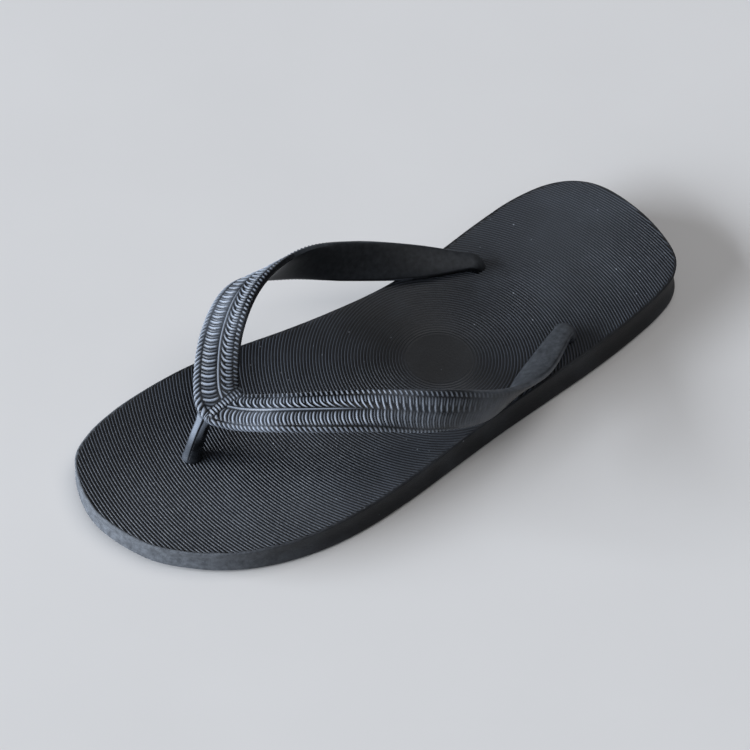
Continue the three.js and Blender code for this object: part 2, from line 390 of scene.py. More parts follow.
@dataclass(frozen=True)
class RubberFinish:
    """Black natural rubber as it leaves a mould, rubbed where it is touched and dusty where it lies still.

    It gives the eye a deep blue-black ground, a broad soft sheen, a fine grain, paler crowns that are partly
    rubbed and partly painted highlights, and a matt film of dust with sparse specks, which in places is also
    painted light.
    """

    name: str
    ground_hex: str
    worn_and_highlight_hex: str
    dust_and_light_hex: str = "#8a8f95"
    ior: float = 1.52
    specular: float = 0.5
    roughness: float = 0.55
    roughness_spread: float = 0.08
    worn_roughness: float = 0.0
    dust_roughness: float = 0.35
    # The real grain is about 0.1 mm wide, too fine to show, so it is drawn several times coarser.
    grain_mm: float = 0.5
    grain_strength: float = 0.12
    grain_detail: float = 3.0
    patch_mm: float = 34.0
    patch_detail: float = 6.0
    patch_share: float = 0.25
    patch_range: Span = (0.42, 0.74)
    dust_mm: float = 2.4
    dust_detail: float = 4.0
    dust_range: Span = (0.3, 0.7)
    dust_spread: Span = (0.55, 1.45)
    speck_mm: float = 11.0
    speck_size: float = 0.045
    speck_core: float = 0.4
    speck_film: float = 0.8
    noise_roughness: float = 0.6

    def material(self) -> Material:
        """Build the node material.

        Large noise gives patches, middle noise the unevenness of dust, and fine noise the grain. The wear and
        the dust of the vertices, with the painted highlights and painted light they carry, go into the base
        colour and the roughness.

        Returns:
            The new material.
        """
        made = empty_material(self.name)
        tree = made.node_tree
        place = {"Vector": add_node(tree, "ShaderNodeTexCoord", take="Object")}
        rough = self.noise_roughness
        patches, mottle, grain = (
            add_node(tree, "ShaderNodeTexNoise", place, Scale=1 / (size * MM), Detail=detail, Roughness=rough)
            for size, detail in (
                (self.patch_mm, self.patch_detail),
                (self.dust_mm, self.dust_detail),
                (self.grain_mm, self.grain_detail),
            )
        )
        rubbed_and_lit, dust_and_light_share = (
            add_node(tree, "ShaderNodeAttribute", take="Fac", attribute_name=name) for name in (WEAR_AND_HIGHLIGHT, DUST_AND_LIGHT)
        )
        film = self.film(tree, mottle, dust_and_light_share)
        cells = add_node(tree, "ShaderNodeTexVoronoi", place, Scale=1 / (self.speck_mm * MM))
        depth = self.grain_mm * MM
        looks = {
            "Base Color": self.colour(tree, patches, rubbed_and_lit, film, cells),
            "Roughness": self.gloss(tree, patches, rubbed_and_lit, film),
            "Normal": add_node(
                tree, "ShaderNodeBump", {"Height": grain}, Strength=self.grain_strength, Distance=depth
            ),
        }
        shader = add_node(
            tree, "ShaderNodeBsdfPrincipled", looks, IOR=self.ior, Specular_IOR_Level=self.specular
        )
        add_node(tree, "ShaderNodeOutputMaterial", {"Surface": shader})
        return made

    def film(self, tree: Tree, mottle: Socket, dust_and_light_share: Socket) -> Socket:
        """Make the film of dust and painted light uneven.

        Args:
            tree: the material's tree.
            mottle: noise of the size of dust patches.
            dust_and_light_share: dust and painted light of the vertices.

        Returns:
            The vertices' dust and painted light times the noise, stretched about one.
        """
        uneven = add_node(
            tree,
            "ShaderNodeMapRange",
            {"Value": mottle},
            From_Min=self.dust_range[0],
            From_Max=self.dust_range[1],
            To_Min=self.dust_spread[0],
            To_Max=self.dust_spread[1],
        )
        return add_node(tree, "ShaderNodeMath", {0: dust_and_light_share, 1: uneven}, operation="MULTIPLY", use_clamp=True)

    def colour(self, tree: Tree, patches: Socket, rubbed_and_lit: Socket, film: Socket, cells: Socket) -> Socket:
        """Mix the base colour: ground to pale tone by wear, painted highlight and patches, then dust and
        painted light by film and specks.

        Args:
            tree: the material's tree.
            patches: large noise.
            rubbed_and_lit: wear and painted highlight of the vertices.
            film: uneven dust and painted light.
            cells: distance to the nearest speck.

        Returns:
            The base colour.
        """
        patch = add_node(
            tree,
            "ShaderNodeMapRange",
            {"Value": patches},
            interpolation_type="SMOOTHSTEP",
            From_Min=self.patch_range[0],
            From_Max=self.patch_range[1],
            To_Max=self.patch_share,
        )
        worn_and_lit = add_node(tree, "ShaderNodeMath", {0: rubbed_and_lit, 1: patch}, operation="ADD", use_clamp=True)
        ends = {"Color1": linear(self.ground_hex), "Color2": linear(self.worn_and_highlight_hex)}
        tone = add_node(tree, "ShaderNodeMixRGB", {"Fac": worn_and_lit}, **ends)
        speck = add_node(
            tree,
            "ShaderNodeMapRange",
            {"Value": cells},
            From_Min=self.speck_size,
            From_Max=self.speck_size * self.speck_core,
            To_Max=self.speck_film,
        )
        dust = add_node(tree, "ShaderNodeMath", {0: film, 1: speck}, operation="MAXIMUM")
        return add_node(tree, "ShaderNodeMixRGB", {"Fac": dust, "Color1": tone}, Color2=linear(self.dust_and_light_hex))

    def gloss(self, tree: Tree, patches: Socket, rubbed_and_lit: Socket, film: Socket) -> Socket:
        """Work out the roughness: large patches sway it, and wear of either sign and dust change it.

        Args:
            tree: the material's tree.
            patches: large noise.
            rubbed_and_lit: wear and painted highlight of the vertices.
            film: uneven dust and painted light.

        Returns:
            The roughness.
        """
        roughness = add_node(
            tree,
            "ShaderNodeMapRange",
            {"Value": patches},
            To_Min=self.roughness - self.roughness_spread,
            To_Max=self.roughness + self.roughness_spread,
        )
        touched = add_node(tree, "ShaderNodeMath", {0: rubbed_and_lit}, operation="ABSOLUTE")
        for source, change in ((touched, self.worn_roughness), (film, self.dust_roughness)):
            part = add_node(tree, "ShaderNodeMapRange", {"Value": source}, clamp=False, To_Max=change)
            sums = {0: roughness, 1: part}
            roughness = add_node(tree, "ShaderNodeMath", sums, operation="ADD", use_clamp=True)
        return roughness


# Footbed: near-black grooves and disc, blue-grey crowns with a soft gloss, paled partly by rubbing and
# partly as a painted highlight, and a few pale specks.
FOOTBED_RUBBER = RubberFinish(
    name="moulded_ribbed_rubber",
    ground_hex="#0a0a0b",
    worn_and_highlight_hex="#4c525b",
    roughness=0.56,
    worn_roughness=-0.45,
    grain_mm=0.9,
    grain_strength=0.2,
    speck_mm=7.5,
    speck_size=0.06,
    patch_share=0.16,
    patch_mm=28.0,
)

# Wall: the cut side of the slab, matt and coarser grained, with grey dust towards the toe.
WALL_RUBBER = RubberFinish(
    name="cut_slab_rubber",
    ground_hex="#131417",
    worn_and_highlight_hex="#7a7f86",
    roughness=0.6,
    specular=0.25,
    grain_mm=0.8,
    grain_strength=0.25,
    patch_share=0.12,
)

# Strap: solid moulded rubber, dark satin faces between pale strands, their tops paled partly by rubbing and
# partly as painted highlights.
STRAP_RUBBER = RubberFinish(
    name="moulded_strap_rubber",
    ground_hex="#0b0c0e",
    worn_and_highlight_hex="#9198a2",
    roughness=0.27,
    worn_roughness=0.07,
    specular=0.18,
    grain_mm=0.35,
    grain_strength=0.08,
)


@dataclass(frozen=True)
class FloorFinish:
    """Pale trowelled concrete, nearly plain: a light cool grey with a faint mottle."""

    name: str = "pale_floor"
    light_hex: str = "#d7d4d0"
    dark_hex: str = "#cfccc8"
    mottle_mm: float = 120.0
    mottle_detail: float = 8.0
    roughness: float = 0.8

    def material(self) -> Material:
        """Build the node material: two close greys mixed by large noise.

        Returns:
            The new material.
        """
        made = empty_material(self.name)
        tree = made.node_tree
        place = add_node(tree, "ShaderNodeTexCoord", take="Object")
        scale = 1 / (self.mottle_mm * MM)
        mottle = add_node(
            tree, "ShaderNodeTexNoise", {"Vector": place}, Scale=scale, Detail=self.mottle_detail
        )
        ends = {"Color1": linear(self.dark_hex), "Color2": linear(self.light_hex)}
        colour = add_node(tree, "ShaderNodeMixRGB", {"Fac": mottle}, **ends)
        shader = add_node(tree, "ShaderNodeBsdfPrincipled", {"Base Color": colour}, Roughness=self.roughness)
        add_node(tree, "ShaderNodeOutputMaterial", {"Surface": shader})
        return made


@dataclass(frozen=True)
class Last:
    """Form of the sole that the strap is set on: plan, footbed, underside and the places of the plugs."""

    heel_end: Spot = Spot(0.0, -1.0)
    toe_end: Spot = Spot(270.0, 3.0)
    plug_spots: tuple[Spot, ...] = (Spot(68.9, 32.3), Spot(76.1, -17.4), Spot(225.0, 2.2))
    plan: tuple[PlanRow, ...] = (
        PlanRow(along=4, medial=24.5, lateral=22.0),
        PlanRow(along=11, medial=33.6, lateral=30.2),
        PlanRow(along=22, medial=38.6, lateral=35.2),
        PlanRow(along=40, medial=39.7, lateral=39.8),
        PlanRow(along=62, medial=36.6, lateral=43.8),
        PlanRow(along=88, medial=31.6, lateral=47.2),
        PlanRow(along=114, medial=28.7, lateral=50.6),
        PlanRow(along=138, medial=29.4, lateral=54.4),
        PlanRow(along=160, medial=31.6, lateral=58.0),
        PlanRow(along=182, medial=34.9, lateral=60.4),
        PlanRow(along=203, medial=37.0, lateral=60.2),
        PlanRow(along=222, medial=36.3, lateral=56.8),
        PlanRow(along=238, medial=34.0, lateral=50.4),
        PlanRow(along=252, medial=29.4, lateral=40.4),
        PlanRow(along=262.5, medial=21.8, lateral=28.4),
    )
    heights: tuple[HeightRow, ...] = (
        HeightRow(along=0, top=14.6),
        HeightRow(along=40, top=14.4),
        HeightRow(along=80, top=13.9),
        HeightRow(along=120, top=13.4),
        HeightRow(along=160, top=12.7),
        HeightRow(along=190, top=12.0),
        HeightRow(along=215, top=11.2),
        HeightRow(along=240, top=10.6),
        HeightRow(along=270, top=10.3),
    )
    spring_start: float = 205.0
    toe_lift: float = 1.8
    measure_points: int = 6000

    def top(self, along: Array) -> Array:
        """Height of the footbed at places along the sole."""
        table = np.array(self.heights, float)
        return read_table(table[:, 0], table[:, 1], along)

    def underside(self, along: Array) -> Array:
        """Height of the underside: flat, then rising with the square of the way from the ball to the toe."""
        share = np.maximum(0.0, along - self.spring_start) / (self.toe_end.along - self.spring_start)
        return self.toe_lift * share**2

    def edge(self, count: int) -> tuple[Array, Array]:
        """Walk round the plan anticlockwise from the heel end in equal steps.

        Args:
            count: number of points.

        Returns:
            Points of the edge, and their outward normals in the plan.
        """
        table = np.array(self.plan, float)
        medial = np.column_stack([table[:, 0], -table[:, 1]])
        lateral = np.column_stack([table[::-1, 0], table[::-1, 2]])
        corners = np.vstack([self.heel_end, medial, self.toe_end, lateral])
        fine = curve_through(corners, np.linspace(0, 1, self.measure_points + 1), closed=True)
        length = run_length(fine)
        steps = np.arange(count) / count * length[-1]
        points = np.column_stack([np.interp(steps, length, fine[:, k]) for k in range(2)])
        ahead = np.roll(points, -1, axis=0) - np.roll(points, 1, axis=0)
        return points, unit(np.column_stack([ahead[:, 1], -ahead[:, 0]]))


@dataclass
class Sole:
    """Slab sole: footbed with moulded round ribs about a smooth disc, waisted wall, underside, plug holes."""

    last: Last
    columns: int = 288
    rib_centre: Spot = Spot(117.5, 14.6)
    rib_count: int = 155
    rib_pitch: float = 1.25
    rib_phases: tuple[float, ...] = (0.0, 0.45, 0.6, 0.85)
    rib_drops: tuple[float, ...] = (0.62, 0.62, 0.0, 0.0)
    disc_radius: float = 12.5
    disc_rings: tuple[float, ...] = (0.4, 0.7, 0.9)
    disc_drop: float = 0.22
    disc_fade: float = 5.0
    rim_margin: float = 0.3
    wall: tuple[WallRow, ...] = (
        WallRow(inset=0.6, share=1, step=0),
        WallRow(inset=0.15, share=1, step=-0.2),
        WallRow(inset=0, share=1, step=-0.8),
        WallRow(inset=0.5, share=0.5, step=0),
        WallRow(inset=-0.8, share=0, step=1.4),
        WallRow(inset=0.2, share=0, step=0.4),
        WallRow(inset=1.5, share=0, step=0),
    )
    wall_ring_count: int = 19
    flare_span: Span = (185.0, 245.0)
    underside_shares: tuple[float, ...] = (0.97, 0.9, 0.8, 0.7, 0.55, 0.3)
    neck_hole: float = 7.6
    seat_hole: float = 15.6
    seat_depth: float = 3.8
    overcut: float = 1.0
    round_sides: int = 64
    crease_deg: float = 75.0
    footbed_finish: RubberFinish = FOOTBED_RUBBER
    wall_finish: RubberFinish = WALL_RUBBER
    # Rib crowns paled partly by rubbing and partly as a painted highlight standing in for the glints on the
    # ribs.
    crown_wear_and_highlight: float = 0.36
    # More paleness on the rib crowns towards the heel: rubbing there, and a painted highlight for the rib
    # glints.
    heel_wear_and_highlight: float = 0.06
    heel_span: Span = (35.0, 95.0)
    # Painted shade: a round patch under the far arm where the rib crowns stay dark, as in that arm's shadow.
    painted_shade_patch: Patch = Patch(along=122, side=-9, radius=27, strength=0.75)
    toe_film: float = 0.34
    toe_span: Span = (195.0, 262.0)
    dust_patches: tuple[Patch, ...] = (
        Patch(along=202, side=42, radius=11, strength=0.07),
        Patch(along=218, side=19, radius=6, strength=0.05),
        Patch(along=249, side=14, radius=16, strength=0.05),
        Patch(along=228, side=40, radius=13, strength=0.03),
        Patch(along=97, side=16, radius=14, strength=0.035),
        Patch(along=36, side=-12, radius=22, strength=0.015),
    )

    def footbed_rings(self) -> tuple[Array, Array, Array]:
        """List the rings of the footbed from the disc outwards.

        A rib is one pitch broad: a flat groove, a steep flank, a flat crown and a flank down to the next
        groove. Next to the disc the ribs start at its level and grow with one less an exponential.

        Returns:
            Radius of each ring, its drop under the footbed, and its closeness to a crown from 0 to 1.
        """
        steps = (np.arange(self.rib_count)[:, None] + np.array(self.rib_phases)).ravel()
        radii = self.disc_radius + self.rib_pitch * steps
        full = 1 - np.exp(-((radii - self.disc_radius) / self.disc_fade))
        drops = self.disc_drop + (np.tile(self.rib_drops, self.rib_count) - self.disc_drop) * full
        crowns = full * np.clip(1 - drops / max(self.rib_drops), 0.0, 1.0)
        smooth = np.array(self.disc_rings) * self.disc_radius
        level = np.ones(len(smooth))
        return (
            np.concatenate([smooth, radii]),
            np.concatenate([self.disc_drop * level, drops]),
            np.concatenate([0 * level, crowns]),
        )

    def wall_rings(self) -> Array:
        """Work out the side wall as rings from the rim to the underside.

        A curve through the wall's rows gives inset and height, and the flare at its foot fades to the toe.

        Returns:
            Ring points, ring by ring.
        """
        edge, outward = self.last.edge(self.columns)
        rows = curve_through(np.array(self.wall, float), np.linspace(0, 1, self.wall_ring_count))
        inset, share, step = rows.T[:, :, None]
        inset = np.where(inset < 0, inset * fall(self.flare_span, edge[:, 0]), inset)
        plan = edge[None] - inset[..., None] * outward[None]
        low = self.last.underside(plan[..., 0])
        return np.dstack([plan, low + share * (self.last.top(plan[..., 0]) - low) + step])

    def body(self) -> tuple[Array, Array, Array, Array]:
        """Work out the closed slab as rings of equal columns from the footbed over the wall to the underside.

        Footbed rings are circles about the rib centre cut off at the rim: a point beyond the rim becomes the
        rim's own point of that column. The underside shrinks to the rib centre.

        Returns:
            Vertices, triangles, closeness of each vertex to a crown, below 0 off the footbed, and a mark for
            each triangle that lies on the footbed.
        """
        centre = np.array(self.rib_centre)
        wall = self.wall_rings()
        rim = wall[0, :, :2]
        reach = np.linalg.norm(rim - centre, axis=1)
        radii, drops, crowns = self.footbed_rings()
        inside = radii[:, None] < reach[None] - self.rim_margin
        bed = centre + unit(rim - centre)[None] * np.minimum(radii[:, None], reach[None])[..., None]
        bed = np.dstack([bed, self.last.top(bed[..., 0]) - drops[:, None]])
        foot = centre + (wall[-1, :, :2] - centre)[None] * np.array(self.underside_shares)[:, None, None]
        foot = np.dstack([foot, self.last.underside(foot[..., 0])])
        outer = np.concatenate([wall, foot]).reshape(-1, 3)
        poles = np.array([
            [*centre, self.last.top(centre[:1])[0] - self.disc_drop],
            [*centre, self.last.underside(centre[:1])[0]],
        ])
        points = np.vstack([poles, outer, bed[inside]])

        first = len(poles) + len(outer)
        outer_ids = len(poles) + np.arange(len(outer)).reshape(-1, self.columns)
        bed_ids = np.tile(outer_ids[0], (len(radii), 1))
        bed_ids[inside] = np.arange(first, len(points))
        pole = np.zeros((1, self.columns), int)
        bed_faces = grid_faces(np.vstack([pole, bed_ids, outer_ids[:1]]))
        faces = np.vstack([bed_faces, grid_faces(np.vstack([outer_ids, pole + 1]))])
        closeness = np.full(len(points), -1.0)
        closeness[0] = 0.0
        closeness[first:] = np.broadcast_to(crowns[:, None], inside.shape)[inside]
        return points, faces, closeness, np.arange(len(faces)) < len(bed_faces)

    def wear_and_highlight(self, points: Array, closeness: Array) -> Array:
        """Pale the rib crowns as rubbing and painted highlight, more at the heel, less in the patch of
        painted shade.

        Args:
            points: vertices of the slab.
            closeness: closeness of each vertex to a crown.

        Returns:
            How far each vertex is rubbed and paled as a painted highlight.
        """
        rubbed_and_lit = self.crown_wear_and_highlight + self.heel_wear_and_highlight * fall(self.heel_span, points[:, 0])
        return np.maximum(closeness, 0.0) * rubbed_and_lit * (1 - self.painted_shade_patch.bell(points[:, :2]))

    def dust(self, points: Array, closeness: Array) -> Array:
        """Lay dust on the footbed as a sum of bells, and on the wall as a film that grows towards the toe.

        Args:
            points: vertices of the slab.
            closeness: closeness of each vertex to a crown, below 0 off the footbed.

        Returns:
            Share of each vertex that dust covers.
        """
        bed = np.sum([patch.bell(points[:, :2]) for patch in self.dust_patches], axis=0)
        return np.where(closeness >= 0, bed, self.toe_film * rise(self.toe_span, points[:, 0]))

    def hole_cutter(self) -> Piece:
        """Make the bars that are cut from the slab: at each plug a neck hole with a wider seat under it.

        Returns:
            The bars, stepped profiles turned about upright axes, as one object.
        """
        spots = self.last.plug_spots
        radius = np.array([self.seat_hole, self.seat_hole, self.neck_hole, self.neck_hole]) / 2
        above = self.last.top(np.array(spots)[:, 0]) + self.overcut
        heights = np.array([[-self.overcut, self.seat_depth, self.seat_depth, top] for top in above])
        return make_piece("hole_cutter", *turned_solids(spots, radius, heights, self.round_sides))

    def cut_holes(self, piece: Piece) -> None:
        """Cut the plug holes from the slab, and mark its creases as sharp.

        Args:
            piece: the slab, whose mesh is replaced by the cut one.
        """
        cutter = self.hole_cutter()
        cut = piece.modifiers.new("plug_holes", "BOOLEAN")
        cut.operation = "DIFFERENCE"
        cut.solver = "MANIFOLD"
        cut.object = cutter
        seen = piece.evaluated_get(bpy.context.evaluated_depsgraph_get())
        finished = bpy.data.meshes.new_from_object(seen)
        piece.modifiers.clear()
        piece.data = finished
        bpy.data.objects.remove(cutter)
        finished.set_sharp_from_angle(angle=np.radians(self.crease_deg))

    def build(self) -> Piece:
        """Make the slab, cut its plug holes, and dress footbed and wall.

        Returns:
            The finished piece.
        """
        points, faces, closeness, on_bed = self.body()
        piece = make_piece("sole_slab", points, faces)
        store_attribute(piece, WEAR_AND_HIGHLIGHT, self.wear_and_highlight(points, closeness))
        store_attribute(piece, DUST_AND_LIGHT, self.dust(points, closeness))
        piece.data.materials.append(self.footbed_finish.material())
        piece.data.materials.append(self.wall_finish.material())
        piece.data.polygons.foreach_set("material_index", np.where(on_bed, 0, 1).astype(np.int32))
        self.cut_holes(piece)
        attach(piece, BODY)
        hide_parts("sole")
        return piece


@dataclass(frozen=True)
class Braid:
    """Moulded braid on the outer face of an arm: rows across it, as shares of its breadth from front to rear.

    Ways along the arm are in millimetres from the fork. A strand's breadth is a share of its pitch, and a
    row's height a share of the braid's height.
    """

    height: float = 0.62
    wide_pitch: float = 3.14
    close_pitch: float = 2.58
    closing: Span = (10.0, 34.0)
    count_span: Span = (-20.0, 140.0)
    count_step: float = 0.25
    lateral_roll: float = 0.07
    cord_breadth: float = 0.66
    second_breadth: float = 0.28
    hem: Span = (-0.085, 0.135)
    hem_height: float = 0.9
    hem_pitch: float = 1.8
    hem_slant: float = 2.6
    hem_fade: Span = (84.0, 106.0)
    front_row: Span = (0.155, 0.5)
    front_hook: float = 1.5
    front_bow: float = 0.7
    front_breadth: float = 0.36
    front_fade: Span = (74.0, 116.0)
    lateral_second: float = 0.78
    medial_second: float = 0.6
    spine: float = 0.55
    spine_half: float = 0.02
    spine_height: float = 0.6
    spine_fade: Span = (44.0, 64.0)
    row_growth: float = 0.05
    rear_row: Span = (0.59, 0.87)
    rear_height: float = 1.25
    rear_slope: float = 0.4
    rear_breadth: float = 0.34
    rear_sweep: float = 3.6
    rear_bend: float = 3.5
    rear_straight: float = 0.8
    rear_straighten: Span = (48.0, 66.0)
    rear_second: float = 0.8
    rear_second_start: Span = (0.3, 0.55)
    rear_fade: Span = (78.0, 122.0)
    rear_hem: Span = (0.88, 0.985)
    rear_hem_height: float = 0.8
    rear_hem_breadth: float = 0.44
    rear_hem_pitch: float = 2.0
    rear_hem_slant: float = 0.9
    rear_hem_fade: Span = (84.0, 130.0)
    rope_half: float = 1.95
    rope_bed: float = 0.25
    rope_height: float = 0.85
    rope_pitch: float = 1.45
    rope_slant: float = 0.1
    rope_edge: Span = (0.13, 0.17)
    rope_clear: Span = (0.95, 1.15)
    # Narrows the pale tone to the strand tops: partly rubbing, partly painted highlights.
    rubbed_and_lit_power: float = 2.2

    @staticmethod
    def strands(phase: Array, breadth: float) -> Array:
        """Round bars side by side: a half circle of the given breadth in each whole step of the phase."""
        offset = (2 * (phase - np.floor(phase)) - 1) / breadth
        return np.sqrt(np.clip(1 - offset**2, 0.0, None))

    @staticmethod
    def row(share: Array, begin: float | Array, end: float | Array) -> tuple[Array, Array]:
        """Place inside a row across the face.

        Args:
            share: places across the face.
            begin: share where the row begins.
            end: share where the row ends.

        Returns:
            Place x in the row from 0 to 1, and its rounded height there, the root of 1 - (2 x - 1)^4.
        """
        inside = np.clip((share - begin) / (end - begin), 0.0, 1.0)
        return inside, np.sqrt(np.clip(1 - (2 * inside - 1) ** 4, 0.0, None))

    def turns(self, axial: Array) -> Array:
        """Count a row's strands up to places along the arm.

        Args:
            axial: way along the arm.

        Returns:
            The sum of one over the pitch, which closes up along the arm.
        """
        grid = np.arange(*self.count_span, self.count_step)
        wide, close = 1 / self.wide_pitch, 1 / self.close_pitch
        rate = wide + (close - wide) * rise(self.closing, grid)
        return np.interp(axial, grid, np.cumsum(rate) * self.count_step)

    def rows(self, axial: Array, share: Array, side: Side) -> Array:
        """Height of the four rows of the braid.

        Each is a train of round bars whose phase is the way along the arm, bent by the place in the row: a
        twisted hem round the front edge, bows in the front row, swept barbs in the rear row, and slanted
        ticks in the rear hem. Weaker second strands lie half a pitch on from the bows and the barbs.

        Args:
            axial: way along the arm.
            share: place across the face.
            side: which arm it is.

        Returns:
            Height of the rows, each faded out along the arm.
        """
        x, crown = self.row(share, *self.hem)
        phase = (axial - side.value * self.hem_slant * x) / self.hem_pitch
        rows = self.hem_height * crown * self.strands(phase, self.cord_breadth) * fall(self.hem_fade, axial)

        meeting = self.row_growth * rise(self.spine_fade, axial)
        x, crown = self.row(share, self.front_row[0], self.front_row[1] + meeting)
        phase = self.turns(axial - self.front_hook * (1 - x) ** 3 - self.front_bow * x**3)
        second = self.lateral_second if side is Side.LATERAL else self.medial_second
        bars = self.strands(phase, self.front_breadth)
        bars = bars + second * self.strands(phase + 0.5, self.second_breadth)
        rows = rows + crown * bars * fall(self.front_fade, axial)

        x, crown = self.row(share, self.rear_row[0] - meeting, self.rear_row[1])
        straight = 1 - self.rear_straight * rise(self.rear_straighten, axial)
        phase = self.turns(axial - self.rear_sweep * straight * (1 - x) ** self.rear_bend)
        bars = (self.rear_height - self.rear_slope * x) * self.strands(phase, self.rear_breadth)
        second = self.rear_second * rise(self.rear_second_start, x)
        bars = bars + second * self.strands(phase + 0.5, self.second_breadth)
        rows = rows + crown * bars * fall(self.rear_fade, axial)

        x, crown = self.row(share, *self.rear_hem)
        phase = (axial + self.rear_hem_slant * x) / self.rear_hem_pitch
        bars = self.rear_hem_height * self.strands(phase, self.rear_hem_breadth)
        return rows + crown * bars * fall(self.rear_hem_fade, axial)

    def relief(
        self, axial: Array, share: Array, seam: Array, seam_run: Array, side: Side
    ) -> tuple[Array, Array]:
        """Height of the braid over the plain face.

        A thin spine, a bell across the face, parts the two middle rows, and a rope of strands covers the seam
        at the fork and stands clear of the rows beside it.

        Args:
            axial: way along the arm.
            share: place across the face from front to rear edge, beyond 0 and 1 on the rounded edges.
            seam: distance from the seam in millimetres.
            seam_run: way along the seam from the front, in millimetres.
            side: which arm it is.

        Returns:
            Height in millimetres, and closeness to the top of a strand from 0 to 1, raised to a power; it
            pales the strand tops partly as rubbing and partly as painted highlights.
        """
        if side is Side.LATERAL:
            share = share + self.lateral_roll * (1 - np.clip(share, 0.0, 1.0) ** 2)
        rows = self.rows(axial, share, side)
        spine = np.exp(-(((share - self.spine) / self.spine_half) ** 2)) * fall(self.spine_fade, axial)
        on_rope = rise(self.rope_edge, share)
        rope_crown = on_rope * np.sqrt(1 - np.clip(seam / self.rope_half, 0.0, 1.0) ** 2)
        phase = (seam_run - side.value * self.rope_slant * seam) / self.rope_pitch
        rope = rope_crown * self.strands(phase, self.cord_breadth)
        beside = 1 - on_rope * fall(self.rope_clear, seam / self.rope_half)
        height = (self.height * rows + self.spine_height * spine) * beside
        height = height + self.rope_bed * rope_crown + self.rope_height * rope
        return height, np.clip((rows + spine) * beside + rope, 0.0, 1.0) ** self.rubbed_and_lit_power


@dataclass
class StrapPiece:
    """Piece of the moulded strap, with its rubber."""

    last: Last
    finish: RubberFinish = STRAP_RUBBER

    def stand(self, table: tuple[Place, ...]) -> Array:
        """Turn places given by their height over the footbed into places over the ground."""
        places = np.array(table, float)
        return places + UP * self.last.top(places[:, 0])[:, None]

    def dress(self, piece: Piece, wear_and_highlight: Array, dust: Array) -> Piece:
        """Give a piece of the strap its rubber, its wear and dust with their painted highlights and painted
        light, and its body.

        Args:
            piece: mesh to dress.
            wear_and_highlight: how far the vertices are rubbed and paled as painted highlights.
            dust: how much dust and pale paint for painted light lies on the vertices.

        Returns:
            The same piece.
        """
        store_attribute(piece, WEAR_AND_HIGHLIGHT, wear_and_highlight)
        store_attribute(piece, DUST_AND_LIGHT, dust)
        made = bpy.data.materials.get(self.finish.name) or self.finish.material()
        piece.data.materials.append(made)
        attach(piece, BODY)
        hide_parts("strap")
        return piece


